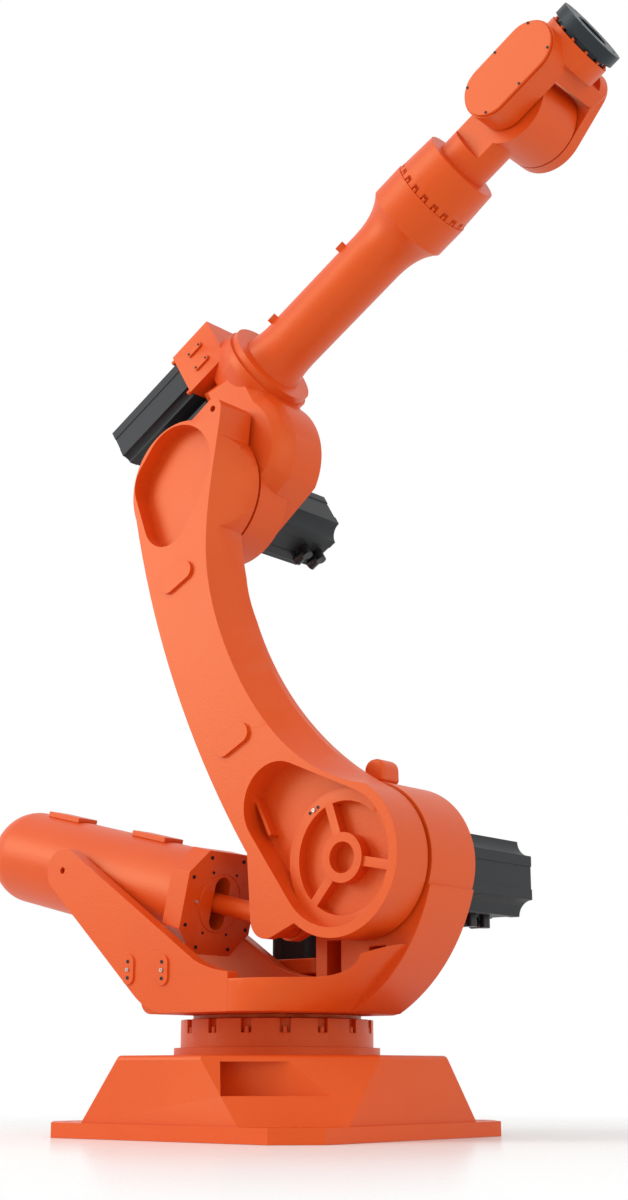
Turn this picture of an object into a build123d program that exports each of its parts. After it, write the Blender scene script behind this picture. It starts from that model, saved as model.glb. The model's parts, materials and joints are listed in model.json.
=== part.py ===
"""Six-axis floor-standing robot arm with a balancer cylinder.

Millimetres, +Z up. The origin is on the floor, on the turning axis; +X is where the arm reaches,
and the link arm stands on the -Y side. The arm is drawn leaning back with the forearm raised.
"""
import os
from math import cos, radians, sin

from build123d import *

# Axes of the arm
shoulder_x = 380
shoulder_height = 360
link_length = 1180
link_lean = 26.7
forearm_rise = 30.5
elbow_offset = 283
wrist_reach = 1285
tool_reach = 274

# Clearances
seam = 0.3
joint_gap = 10
pin_play = 0.05

# Base
foot_half = 445
foot_corner = 92
foot_height = 36
foot_lip = 9
block_corner_low = 180
block_corner_high = 305
block_top = 195
block_round = 12
base_wall = 146
cavity_corner = 160
base_roof = 44
boss_radius = 264
boss_height = 20
floor_bolt_inset = 73
floor_bolt_radius = 13.5
scoop_low = 103
scoop_high = 180
scoop_left = 165
scoop_right = 95
scoop_depth = 101
scoop_mouth = 19
scoop_over = 65

# Bearing ring
ring_radius = 247
ring_height = 69
notch_count = 16
notch_width = 26
notch_drop = 34
notch_depth = 16
neck_radius = 216
neck_height = 11

# Carousel: heights are counted from the underside of its floor
hull_thickness = 71
hull_far = 190
hull_rear = 175
hull_front = 300
hull_corner = 60
hull_round = 34
bow_low_reach = 182
bow_high_reach = 352
bow_top = 155
bow_dip = 77
bow_dip_end = 345
bow_dip_rise = (441, 129)
ear_thickness = 37
ear_radius = 58
ear_skin = 12
ear_run = 36
ear_rise = 45
ear_hole_radius = 8.5
beam_shin = (-165, 46)
beam_toe_x = -70
beam_knee = (40, 123)
beam_instep = 93
beam_instep_mid = (95, 103)
beam_end_x = 150
beam_pad_height = 74
beam_pad_width = 38
beam_pad_rise = 5
beam_pad_places = ((-182, 108), (-64, 103))
bracket_back = 113
bracket_far = 70
bracket_radius = 198
bracket_keel_x = 342
bracket_belly = (481, 115)
bracket_brow = (571, 291)
bracket_foot_rear = 221
slot_start = 256
slot_end = 300
slot_top = 173
slot_depth = 70
vent_corners = ((380, 106), (387, 153), (441, 155), (435, 132))
vent_round = 6
bracket_spigot_radius = 150
stop_width = 62
stop_height = 62
stop_thickness = 70
stop_angle = 92
stop_round = 28

# Balancer
trunnion_x = -440
trunnion_height = 373
trunnion_radius = 20
balancer_y = -185
balancer_radius = 126
balancer_wall = 18
balancer_front = 415
balancer_rear = 412
dome_round = 112
end_plate_across = 262
side_play = 6
end_plate_thickness = 62
end_plate_chamfer = 60
gland_width = 55
gland_height = 135
gland_line_radius = 76
gland_line_width = 3
gland_line_depth = 2
rod_radius = 25.5
rod_tail = 395
eye_radius = 44
eye_width = 58
saddle_length = 125
saddle_width = 70
saddle_rise = 10
saddle_places = (-190, 150)

# Link arm: places near the elbow are counted from the elbow axis
arm_thickness = 123
arm_low_radius = 193
arm_high_radius = 180
arm_front_bow = 22
arm_rear_bow = 256
arm_bow_at = -490
arm_front_low = (110, -158)
arm_front_high = (50, -172)
arm_rear_low = (150, 232)
arm_rear_high = (25, 176)
arm_back_foot = ((100, -172), (300, -62))
arm_back_head = ((-490, 18), (-252, -28), (-113, -146), (10, -190), (120, -232))
arm_near_foot = ((100, -168), (269, -22))
arm_near_head = ((-554, 61), (-251, 12), (-23, -126), (120, -232))
arm_curve_clear = -420
arm_heel_at = (39, 96)
arm_heel_radius = 127
arm_nape_at = (130, 130)
arm_nape_radius = 100
low_pocket_radius = 168
low_pocket_tip = (205, 95)
low_pocket_tip_radius = 108
low_pocket_depth = 72
high_pocket_at = (48, -6)
high_pocket_radius = 127
high_pocket_rear = (60, 70)
high_pocket_rear_radius = 85
high_pocket_tip = (-55, 85)
high_pocket_tip_radius = 82
high_pocket_depth = 46
ledge_radius = 138
ledge_height = 30
hub_radius = 61
hub_bore = 38
hub_height = 36
spoke_width = 24
spoke_start = -8
spoke_bite = 4
pocket_rib_at = (228, 176)
pocket_rib_length = 116
pocket_rib_width = 9
pin_at = (-27, 248)
pin_radius = 18
pin_skin = 14
lug_radius = 50
clevis_depth = 50
clevis_forward = 125
clevis_cut = 300
clevis_side_play = 4
pad_length = 118
pad_width = 52
pad_rise = 9
pad_turn = 90
high_pad_at = (-237, 122)
low_pad_at = (430, 146)
lift_lug_at = (117, -190)
lift_lug_radius = 30
lift_root_radius = 126
lift_lug_bore = 9

# Elbow and forearm: places near the wrist are counted back from the wrist axis
elbow_step = 2
elbow_far = 60
elbow_drum_radius = 178
elbow_drum_far = 0
elbow_spigot_radius = 140
elbow_throat = (100, 330)
elbow_nape = (100, 140)
elbow_heel = (-23, -126)
elbow_chin = (205, -99)
elbow_cheek = (296, 30)
elbow_round_steps = ((34, 16), (26, 45))
root_radius = 143
root_ring_length = 23
root_end = 285
neck_start = 160
neck_half = 84
neck_low = 150
neck_high = 465
collar_radius = 135
collar_length = 23
tube_radius = 82
tube_root_radius = 94
tube_root_length = 92
flare_setback = 545
flange_setback = 417
tube_flange_radius = 121
case_setback = 323
tube_root_slope = (1, -0.35)
tube_flare_slope = (1, 0.9)
tube_level = (1, 0)
tube_boss_radius = 14
tube_boss_rise = 14
low_boss_at = 405
high_boss_setback = 595
case_notch_count = 20
case_notch_radius = 9
case_notch_length = 18
wrist_case_radius = 118
wrist_case_front_radius = 112
case_end_setback = 206
block_start = 88
block_end = 242
block_low = 336
block_high = 482
block_far = 150
strip_length = 58
strip_width = 16
strip_rise = 6
strip_gap = 56

# Motors: a square section with hollowed corners and a shallow groove along each side
motor_hollow = 0.21
wrist_motor_hollow = 0.15
motor_groove_share = 0.3
motor_groove_depth = 2.5
shoulder_motor_side = 200
shoulder_motor_end = 480
elbow_motor_side = 190
elbow_motor_end = 315
adaptor_height = 26
shoulder_adaptor_radius = 112
elbow_adaptor_radius = 95
wrist_motor_side = 138
wrist_motor_length = 302
wrist_motor_gap = 12
near_motor_inset = 3
low_motor_length = 180
low_motor_y = -8
low_motor_gap = 16
turning_motor_side = 180
turning_motor_height = 262
turning_motor_x = 10
turning_motor_y = 125
turning_post_height = 33
turning_flange_height = 40
turning_flange_lip = 24
turning_post_radius = 70
plug_radius = 15
plug_drop = 34
plug_reach = 42
plug_pitch = 62
shoulder_plugs_setback = 145
elbow_plugs_setback = 89

# Wrist
wrist_tube_radius = 76
tongue_radius = 112
tongue_near = 45
tongue_far = 118
tongue_cut = 150
tongue_bite = 67
fork_play = 5
near_cheek_thickness = 78
far_cheek_thickness = 37
cheek_radius = 78
cheek_reach = 137
near_hub_radius = 62
far_cheek_tip_radius = 66
yoke_play = 18
yoke_thickness = 46
yoke_half = 70
yoke_round = 35
head_radius = 97
cover_radius = 74
cover_thickness = 8
flange_radius = 100
flange_thickness = 33
flange_neck_radius = 82
flange_neck_length = 12
flange_bolt_circle = 160
flange_bolt_count = 11
flange_bolt_radius = 6
flange_bolt_depth = 20
flange_pilot_radius = 50
flange_pilot_depth = 8

os.makedirs("parts", exist_ok=True)

# Sizes that follow from the ones above
block_half = foot_half - foot_lip
cavity_half = block_half - base_wall
floor_bolt_spacing = 2 * (foot_half - floor_bolt_inset)
ring_low = block_top + boss_height
ring_top = ring_low + ring_height
hull_bottom = ring_top + neck_height
hull_top = hull_bottom + hull_thickness
shoulder_z = hull_bottom + shoulder_height
trunnion_z = hull_bottom + trunnion_height
arm_back = bracket_back + joint_gap
elbow_back = arm_back - joint_gap
root_ring_start = root_end - root_ring_length
collar_end = root_end + collar_length
tube_root_end = collar_end + tube_root_length
tube_flare_start = wrist_reach - flare_setback
tube_flange_start = wrist_reach - flange_setback
tube_flange_end = wrist_reach - case_setback
wrist_case_end = wrist_reach - case_end_setback
fork_near_inner = tongue_near + fork_play
fork_near = fork_near_inner + near_cheek_thickness
fork_far_inner = tongue_far + fork_play
fork_far = fork_far_inner + far_cheek_thickness
yoke_inner = tongue_radius + yoke_play
head_end = tool_reach - flange_thickness - flange_neck_length

# Axis points and the frames of the link arm and the forearm
lean = radians(link_lean)
rise = radians(forearm_rise)
link_dir = Vector(-sin(lean), 0, cos(lean))
link_rear = Vector(-cos(lean), 0, -sin(lean))
forearm_dir = Vector(cos(rise), 0, sin(rise))
forearm_up = Vector(-sin(rise), 0, cos(rise))
shoulder = Vector(shoulder_x, 0, shoulder_z)
elbow = shoulder + link_dir * link_length
forearm_foot = elbow + forearm_up * elbow_offset
wrist = forearm_foot + forearm_dir * wrist_reach
forearm_axis = Axis(forearm_foot, forearm_dir)
towards_near = (0, -1, 0)


def side_plane(y):
    """Vertical plane at y: local x is +X, local y is up from the carousel's underside."""
    return Plane(origin=(0, y, hull_bottom), x_dir=(1, 0, 0), z_dir=towards_near)


def link_plane(y):
    """Plane of the link arm at y: local x from shoulder to elbow, local y to the rear."""
    return Plane(origin=(shoulder.X, y, shoulder.Z), x_dir=link_dir, z_dir=towards_near)


def from_elbow(place):
    """Place on the link arm's plane that is counted from the elbow axis."""
    return (link_length + place[0], place[1])


def forearm_plane(y):
    """Plane of the forearm at y: local x along the forearm from the elbow axis, local y up."""
    return Plane(origin=(elbow.X, y, elbow.Z), x_dir=forearm_dir, z_dir=towards_near)


def wrist_plane(y):
    """Plane at y with its origin on the wrist bend axis, along the forearm."""
    return Plane(origin=(wrist.X, y, wrist.Z), x_dir=forearm_dir, z_dir=towards_near)


def along_forearm(distance):
    """Plane across the forearm at a distance from the elbow: local x is +Y, local y is up."""
    return Plane(origin=forearm_foot + forearm_dir * distance, x_dir=(0, 1, 0), z_dir=forearm_dir)


def motor_section(side, hollow):
    """Square motor section with corners hollowed by quarter rounds and a groove in each side."""
    Rectangle(side, side)
    with GridLocations(side, side, 2, 2):
        Circle(side * hollow, mode=Mode.SUBTRACT)
    with PolarLocations(side / 2, 4):
        Rectangle(2 * motor_groove_depth, side * motor_groove_share, mode=Mode.SUBTRACT)


def finish(piece, name):
    """Label a finished piece and write it."""
    piece.part.label = name
    export_step(piece.part, f"parts/{name}.step")


# Base casting: a hollow block with four sloped corners on a foot flange, a round boss and a scoop
def block_section(z, corner):
    """Square section of the block with cut corners at one height."""
    with BuildSketch(Plane.XY.offset(z)) as section:
        Rectangle(2 * block_half, 2 * block_half)
        chamfer(vertices(), corner)
    return section.sketch


with BuildPart() as base_block:
    loft(sections=[block_section(foot_height, block_corner_low), block_section(block_top, block_corner_high)])
    fillet(faces().sort_by(Axis.Z)[-1].edges(), block_round)

with BuildPart() as base_casting:
    with BuildSketch():
        Rectangle(2 * foot_half, 2 * foot_half)
        chamfer(vertices(), foot_corner)
    extrude(amount=foot_height)
    add(base_block.part)
    with BuildSketch(Plane.XY.offset(block_top)):
        Circle(boss_radius)
    extrude(amount=boss_height)
    with BuildSketch():
        Rectangle(2 * cavity_half, 2 * cavity_half)
        chamfer(vertices(), cavity_corner)
    extrude(amount=block_top - base_roof, mode=Mode.SUBTRACT)
    with BuildSketch(Plane(origin=(0, 0, scoop_low), x_dir=(1, 1, 0), z_dir=(0, 0, 1))):
        with BuildLine():
            Polyline(
                (-scoop_left, -block_half + scoop_depth),
                (scoop_right, -block_half - scoop_mouth),
                (scoop_right, -block_half - scoop_mouth - scoop_over),
                (-scoop_left, -block_half - scoop_mouth - scoop_over),
                close=True,
            )
        make_face()
    extrude(amount=scoop_high - scoop_low, mode=Mode.SUBTRACT)
    with BuildSketch(Plane.XY.offset(foot_height)):
        with GridLocations(floor_bolt_spacing, floor_bolt_spacing, 2, 2):
            Circle(floor_bolt_radius)
    extrude(amount=-foot_height, mode=Mode.SUBTRACT)
finish(base_casting, "base_casting")

# Bearing ring: a round ring on the boss, its top edge notched for the bolt heads
with BuildPart() as bearing_ring:
    with BuildSketch(Plane.XY.offset(ring_low)):
        Circle(ring_radius)
    extrude(amount=ring_height)
    with BuildSketch(Plane.XY.offset(ring_top)):
        with PolarLocations(ring_radius, notch_count):
            Rectangle(2 * notch_depth, notch_width)
    extrude(amount=-notch_drop, mode=Mode.SUBTRACT)
finish(bearing_ring, "bearing_ring")

# Carousel floor: a slab with a rounded bow on a round neck
beam_inner = end_plate_across / 2 + side_play
hull_near = balancer_y - beam_inner
with BuildPart() as carousel_floor:
    with BuildSketch(Plane.XY.offset(hull_bottom)):
        with BuildLine():
            Polyline(
                (-hull_rear, hull_near),
                (beam_end_x, hull_near),
                (beam_end_x, -bracket_back),
                (hull_front, -bracket_back),
                (hull_front, hull_far),
                (-hull_rear, hull_far),
                close=True,
            )
        make_face()
        fillet(vertices().group_by(Axis.Y)[-1], hull_corner)
    extrude(amount=hull_top - hull_bottom)
    fillet(faces().sort_by(Axis.X)[0].edges().sort_by(Axis.Z)[0], hull_round)
    with BuildSketch(Plane.XY.offset(ring_top + seam)):
        Circle(neck_radius)
    extrude(amount=hull_bottom - ring_top - seam)
finish(carousel_floor, "carousel_floor")


# Side beams: two boomerang plates that carry the trunnions of the balancer
def side_beam(name, inner_y, outwards, foot_z, pads):
    """One boomerang plate standing on foot_z, bored from inside for the trunnion, with pads outside."""
    inner_plane = side_plane(inner_y)
    with BuildPart() as plate:
        with BuildSketch(inner_plane):
            with BuildLine():
                ear = Vector(trunnion_x, trunnion_height)
                back = Line(ear - Vector(ear_run, ear_rise), beam_shin)
                toe = TangentArc(back @ 1, (beam_toe_x, 0), tangent=back % 1)
                Line(toe @ 1, (beam_end_x, 0))
                Line((beam_end_x, 0), (beam_end_x, beam_instep))
                ThreePointArc((beam_end_x, beam_instep), beam_instep_mid, beam_knee)
                Polyline(beam_knee, ear + Vector(ear_run, ear_rise), back @ 0)
            make_face()
            with Locations((trunnion_x, trunnion_height)):
                Circle(ear_radius)
        extrude(amount=-outwards * ear_thickness)
        with BuildSketch(inner_plane):
            with Locations((trunnion_x, trunnion_height)):
                Circle(trunnion_radius + pin_play)
        extrude(amount=-outwards * (ear_thickness - ear_skin), mode=Mode.SUBTRACT)
        with BuildSketch(inner_plane):
            with Locations((trunnion_x, trunnion_height)):
                Circle(ear_hole_radius)
        extrude(amount=-outwards * ear_thickness, mode=Mode.SUBTRACT)
        split(bisect_by=Plane.XY.offset(foot_z), keep=Keep.TOP)
        if pads:
            with BuildSketch(inner_plane.offset(-outwards * ear_thickness)):
                with Locations(*pads):
                    SlotOverall(beam_pad_height, beam_pad_width, rotation=90)
            extrude(amount=-outwards * beam_pad_rise)
    finish(plate, name)


side_beam("near_side_beam", balancer_y - beam_inner, -1, hull_bottom, beam_pad_places)
side_beam("far_side_beam", balancer_y + beam_inner, 1, hull_top, ())

# Shoulder bracket: the bow of the carousel, rising to the drum that carries the link arm
def bow_section(z, reach):
    """Quarter-round plan of the bow at one height, from the near beam to the bracket."""
    with BuildSketch(Plane.XY.offset(z)) as section:
        with BuildLine():
            heel = (beam_end_x, -bracket_back)
            Line(heel, (beam_end_x, hull_near - ear_thickness))
            sweep_round = EllipticalCenterArc(
                heel, reach, -bracket_back - hull_near + ear_thickness, start_angle=270, arc_size=90
            )
            Line(sweep_round @ 1, heel)
        make_face()
    return section.sketch


with BuildPart() as bow:
    bow_foot = bow_section(hull_bottom, bow_low_reach)
    bow_rim = bow_section(hull_bottom + bow_top, bow_high_reach)
    loft(sections=[bow_foot, bow_rim])
    with BuildSketch(side_plane(-bracket_back)):
        with BuildLine():
            dip = Line((beam_end_x, bow_dip), (bow_dip_end, bow_dip))
            rise_up = TangentArc(dip @ 1, bow_dip_rise, tangent=dip % 1)
            Polyline(
                rise_up @ 1,
                (beam_end_x + bow_high_reach, bow_top),
                (beam_end_x + bow_high_reach, bow_top + ear_thickness),
                (beam_end_x, bow_top + ear_thickness),
                dip @ 0,
            )
        make_face()
    extrude(amount=-bracket_back - hull_near + ear_thickness, mode=Mode.SUBTRACT)

with BuildPart() as shoulder_bracket:
    with BuildSketch(side_plane(bracket_far)):
        with BuildLine():
            Polyline(
                (bracket_foot_rear, shoulder_height),
                (bracket_foot_rear, hull_thickness),
                (hull_front, hull_thickness),
                (hull_front, 0),
                (bracket_keel_x, 0),
            )
            ThreePointArc((bracket_keel_x, 0), bracket_belly, bracket_brow)
            Polyline(bracket_brow, (shoulder_x, shoulder_height), (bracket_foot_rear, shoulder_height))
        make_face()
        with Locations((shoulder_x, shoulder_height)):
            Circle(bracket_radius)
    extrude(amount=bracket_far + bracket_back)
    with BuildSketch(side_plane(-bracket_back)):
        with Locations(((slot_start + slot_end) / 2, hull_thickness)):
            Rectangle(slot_end - slot_start, slot_top - hull_thickness, align=(Align.CENTER, Align.MIN))
    extrude(amount=-slot_depth, mode=Mode.SUBTRACT)
    with BuildSketch(side_plane(-bracket_back)):
        with BuildLine():
            Polyline(*vent_corners, close=True)
        make_face()
        fillet(vertices(), vent_round)
    extrude(amount=-slot_depth, mode=Mode.SUBTRACT)
    add(bow.part)
    with BuildSketch(side_plane(-bracket_back)):
        with Locations((shoulder_x, shoulder_height)):
            Circle(bracket_spigot_radius)
    extrude(amount=joint_gap - seam)
finish(shoulder_bracket, "shoulder_bracket")

# Shoulder stop: a rounded fin on top of the bracket
stop_plane = Plane(
    origin=(shoulder_x, -stop_thickness / 2, shoulder_z),
    x_dir=(sin(radians(stop_angle)), 0, -cos(radians(stop_angle))),
    z_dir=towards_near,
)
with BuildPart() as shoulder_stop:
    with BuildSketch(stop_plane):
        with Locations((0, bracket_radius + stop_height / 2)):
            Rectangle(stop_width, stop_height)
        fillet(vertices().group_by(Axis.Y)[-1], stop_round)
        Circle(bracket_radius, mode=Mode.SUBTRACT)
    extrude(amount=stop_thickness / 2, both=True)
finish(shoulder_stop, "shoulder_stop")

# Shoulder motor: adaptor on the bracket, square motor along the shoulder axis, two plug connectors
motor_start = bracket_far + adaptor_height


def adaptor_ring(name, plane, radius):
    """Round adaptor between a housing and its motor, rising from the plane away from the near side."""
    with BuildPart() as ring:
        with BuildSketch(plane):
            Circle(radius)
        extrude(amount=-adaptor_height)
    finish(ring, name)


def square_motor(name, plane, side, length, hollow):
    """Motor with hollowed corners, going back from the plane."""
    with BuildPart() as motor:
        with BuildSketch(plane):
            motor_section(side, hollow)
        extrude(amount=-length)
    finish(motor, name)


def plug_pair(name, plane, side):
    """Two right-angled plug connectors in the groove under a motor; the plane stands on the motor axis."""
    seat = side / 2 - motor_groove_depth
    with BuildPart() as plugs:
        for shift in (0, plug_pitch):
            foot = plane.origin - plane.z_dir * shift - plane.y_dir * seat
            with BuildSketch(Plane(foot, x_dir=plane.x_dir, z_dir=-plane.y_dir)):
                Circle(plug_radius)
            extrude(amount=plug_drop)
            elbow_of_plug = foot - plane.y_dir * (plug_drop - plug_radius)
            with BuildSketch(Plane(elbow_of_plug, x_dir=plane.y_dir, z_dir=-plane.x_dir)):
                Circle(plug_radius)
            extrude(amount=plug_reach)
    finish(plugs, name)


shoulder_motor_plane = Plane(
    origin=(shoulder_x, motor_start, shoulder_z), x_dir=(1, 0, 0), z_dir=towards_near
)
adaptor_ring("shoulder_adaptor", shoulder_motor_plane.offset(adaptor_height), shoulder_adaptor_radius)
motor_length = shoulder_motor_end - motor_start
square_motor("shoulder_motor", shoulder_motor_plane, shoulder_motor_side, motor_length, motor_hollow)
plug_plane = shoulder_motor_plane.offset(shoulder_plugs_setback - motor_length)
plug_pair("shoulder_plugs", plug_plane, shoulder_motor_side)

# Turning motor: stands on a flanged post at the far side of the neck
with BuildPart() as turning_flange:
    with BuildSketch(Plane.XY.offset(hull_top)):
        with Locations((turning_motor_x, turning_motor_y)):
            Circle(turning_post_radius)
    extrude(amount=turning_post_height)
    flange_side = turning_motor_side + 2 * turning_flange_lip
    with BuildSketch(Plane.XY.offset(hull_top + turning_post_height)):
        with Locations((turning_motor_x, turning_motor_y)):
            RectangleRounded(flange_side, flange_side, turning_flange_lip)
    extrude(amount=turning_flange_height)
finish(turning_flange, "turning_motor_flange")

with BuildPart() as turning_motor:
    with BuildSketch(Plane.XY.offset(hull_top + turning_post_height + turning_flange_height)):
        with Locations((turning_motor_x, turning_motor_y)):
            motor_section(turning_motor_side, motor_hollow)
    extrude(amount=turning_motor_height)
finish(turning_motor, "turning_motor")

# Link arm: a bowed casting with a pocket at each end, a ribbed hub and the clevis of the balancer rod
def front_of_arm(y, foot, head):
    """Region in front of the arm in the plane at y, bounded by the curve from the arm's foot to its head."""
    curve = [*foot, *map(from_elbow, head)]
    with BuildSketch(link_plane(y)) as region:
        with BuildLine():
            Spline(*curve)
            Polyline(curve[-1], (curve[-1][0], arm_curve_clear), (curve[0][0], arm_curve_clear), curve[0])
        make_face()
    return region.sketch


with BuildPart() as arm_front_side:
    arm_front = -arm_back - arm_thickness
    far_edge = front_of_arm(-arm_back, arm_back_foot, arm_back_head)
    near_edge = front_of_arm(arm_front, arm_near_foot, arm_near_head)
    loft(sections=[far_edge, near_edge], ruled=True)

with BuildPart() as link_arm:
    with BuildSketch(link_plane(-arm_back)):
        with BuildLine():
            front_high = from_elbow(arm_front_high)
            rear_high = from_elbow(arm_rear_high)
            ThreePointArc(arm_front_low, from_elbow((arm_bow_at, arm_front_bow)), front_high)
            Line(front_high, rear_high)
            ThreePointArc(rear_high, from_elbow((arm_bow_at, arm_rear_bow)), arm_rear_low)
            Line(arm_rear_low, arm_front_low)
        make_face()
        Circle(arm_low_radius)
        with Locations((link_length, 0)):
            Circle(arm_high_radius)
    extrude(amount=arm_thickness)
    with BuildSketch(link_plane(-arm_back)):
        with Locations(pin_at):
            Circle(lug_radius)
        with Locations(arm_heel_at):
            Circle(arm_heel_radius)
        with Locations(arm_nape_at):
            Circle(arm_nape_radius)
        make_hull()
    extrude(amount=arm_thickness)
    with BuildSketch(link_plane(-arm_back)):
        with Locations(from_elbow(lift_lug_at)):
            Circle(lift_lug_radius)
        with Locations((link_length, 0)):
            Circle(lift_root_radius)
        make_hull()
    extrude(amount=arm_thickness)
    add(arm_front_side.part, mode=Mode.SUBTRACT)
    for place in (from_elbow(high_pad_at), low_pad_at):
        with BuildSketch(link_plane(arm_front)):
            with Locations(place):
                SlotOverall(pad_length, pad_width, rotation=pad_turn)
        extrude(amount=pad_rise)
    with BuildSketch(link_plane(arm_front)):
        Circle(low_pocket_radius)
        with Locations(low_pocket_tip):
            Circle(low_pocket_tip_radius)
        make_hull()
    extrude(amount=-low_pocket_depth, mode=Mode.SUBTRACT)
    with BuildSketch(link_plane(arm_front)):
        with Locations(from_elbow(high_pocket_at)):
            Circle(high_pocket_radius)
        with Locations(from_elbow(high_pocket_rear)):
            Circle(high_pocket_rear_radius)
        with Locations(from_elbow(high_pocket_tip)):
            Circle(high_pocket_tip_radius)
        make_hull()
    extrude(amount=-high_pocket_depth, mode=Mode.SUBTRACT)
    hub_floor = arm_front + low_pocket_depth
    with BuildSketch(link_plane(hub_floor)):
        Circle(hub_radius)
        Circle(hub_bore, mode=Mode.SUBTRACT)
    extrude(amount=hub_height)
    with BuildSketch(link_plane(hub_floor)):
        Circle(low_pocket_radius)
        Circle(ledge_radius, mode=Mode.SUBTRACT)
        with PolarLocations((hub_radius + ledge_radius) / 2, 3, start_angle=spoke_start):
            Rectangle(ledge_radius - hub_radius + 2 * spoke_bite, spoke_width)
        with Locations(pocket_rib_at):
            Rectangle(pocket_rib_length, pocket_rib_width)
    extrude(amount=ledge_height)
    with BuildSketch(link_plane(-arm_back)):
        with Locations(from_elbow(lift_lug_at)):
            Circle(lift_lug_bore)
    extrude(amount=arm_thickness, mode=Mode.SUBTRACT)
    clevis_centre = -balancer_y - arm_back
    with BuildSketch(link_plane(-arm_back - clevis_centre + eye_width / 2 + clevis_side_play)):
        with Locations((pin_at[0] + clevis_forward, pin_at[1] - clevis_depth)):
            Rectangle(clevis_cut, clevis_cut, align=(Align.MAX, Align.MIN))
    extrude(amount=eye_width + 2 * clevis_side_play, mode=Mode.SUBTRACT)
    with BuildSketch(link_plane(-arm_back)):
        with Locations(pin_at):
            Circle(pin_radius + pin_play)
    extrude(amount=arm_thickness - pin_skin, mode=Mode.SUBTRACT)
finish(link_arm, "link_arm")

with BuildPart() as clevis_pin:
    with BuildSketch(link_plane(-arm_back)):
        with Locations(pin_at):
            Circle(pin_radius)
    extrude(amount=arm_thickness - pin_skin - seam)
finish(clevis_pin, "clevis_pin")

# Balancer: the cylinder swings on its trunnions and its rod pulls on the clevis pin
pin_point = shoulder + link_dir * pin_at[0] + link_rear * pin_at[1]
trunnion = Vector(trunnion_x, 0, trunnion_z)
balancer_dir = (pin_point - trunnion).normalized()
pull_length = (pin_point - trunnion).length


def balancer_plane(distance):
    """Plane across the balancer at a distance from its trunnion: local x is +Y, local y is up."""
    centre = trunnion + balancer_dir * distance + Vector(0, balancer_y, 0)
    return Plane(origin=centre, x_dir=(0, 1, 0), z_dir=balancer_dir)


with BuildPart() as balancer_cylinder:
    with BuildSketch(balancer_plane(balancer_front - end_plate_thickness)):
        Circle(balancer_radius)
    extrude(amount=-(balancer_front - end_plate_thickness + balancer_rear))
    fillet(faces().sort_by(Axis(trunnion, balancer_dir))[0].edges(), dome_round)
    with BuildSketch(balancer_plane(balancer_front - end_plate_thickness)):
        Circle(balancer_radius - balancer_wall)
    extrude(amount=-(balancer_front - end_plate_thickness + balancer_rear - dome_round), mode=Mode.SUBTRACT)
    trunnion_reach = beam_inner + ear_thickness - ear_skin - seam
    for outwards in (1, -1):
        seat = balancer_radius - balancer_wall / 2
        start = Plane(
            origin=(trunnion_x, balancer_y + outwards * seat, trunnion_z),
            x_dir=(1, 0, 0),
            z_dir=(0, outwards, 0),
        )
        with BuildSketch(start):
            Circle(trunnion_radius)
        extrude(amount=trunnion_reach - seat)
finish(balancer_cylinder, "balancer_cylinder")

with BuildPart() as balancer_end_plate:
    with BuildSketch(balancer_plane(balancer_front)):
        Rectangle(end_plate_across, end_plate_across)
        chamfer(vertices(), end_plate_chamfer)
        SlotOverall(gland_height, gland_width, rotation=90, mode=Mode.SUBTRACT)
    extrude(amount=-end_plate_thickness)
    with BuildSketch(balancer_plane(balancer_front)):
        Circle(gland_line_radius)
        Circle(gland_line_radius - gland_line_width, mode=Mode.SUBTRACT)
    extrude(amount=-gland_line_depth, mode=Mode.SUBTRACT)
finish(balancer_end_plate, "balancer_end_plate")

with BuildPart() as balancer_saddles:
    for centre in saddle_places:
        with BuildSketch(balancer_plane(centre - saddle_length / 2)):
            with Locations((0, balancer_radius)):
                Rectangle(saddle_width, 2 * saddle_rise)
            Circle(balancer_radius, mode=Mode.SUBTRACT)
        extrude(amount=saddle_length)
finish(balancer_saddles, "balancer_saddles")

with BuildPart() as balancer_rod:
    with BuildSketch(balancer_plane(pull_length)):
        Circle(rod_radius)
    extrude(amount=-rod_tail)
    eye_plane = Plane(
        origin=pin_point + Vector(0, balancer_y + eye_width / 2, 0), x_dir=balancer_dir, z_dir=towards_near
    )
    with BuildSketch(eye_plane):
        Circle(eye_radius)
    extrude(amount=eye_width)
    with BuildSketch(eye_plane):
        Circle(pin_radius + pin_play)
    extrude(amount=eye_width, mode=Mode.SUBTRACT)
finish(balancer_rod, "balancer_rod")

# Elbow housing: drum on the elbow axis, rounded body, drive block and a neck that sweeps to the forearm ring
with BuildPart() as elbow_body:
    with BuildSketch(forearm_plane(elbow_far)):
        with BuildLine():
            Polyline(elbow_throat, elbow_nape, (0, 0), elbow_heel, elbow_chin)
            ThreePointArc(elbow_chin, elbow_cheek, (root_end, elbow_offset - root_radius))
            Polyline((root_end, elbow_offset - root_radius), (root_end, elbow_offset), elbow_throat)
        make_face()
    extrude(amount=elbow_far + elbow_back - elbow_step - sum(step for step, slope in elbow_round_steps))
    for step, slope in elbow_round_steps:
        extrude(faces().sort_by(Axis.Y)[0], amount=step, taper=slope)

with BuildPart() as elbow_neck:
    with BuildSketch(along_forearm(neck_start)) as neck_foot:
        with Locations((0, (neck_low + neck_high) / 2 - elbow_offset)):
            Rectangle(2 * neck_half, neck_high - neck_low)
    with BuildSketch(along_forearm(root_ring_start)) as neck_head:
        Circle(root_radius)
    loft(sections=[neck_foot.sketch, neck_head.sketch])

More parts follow.
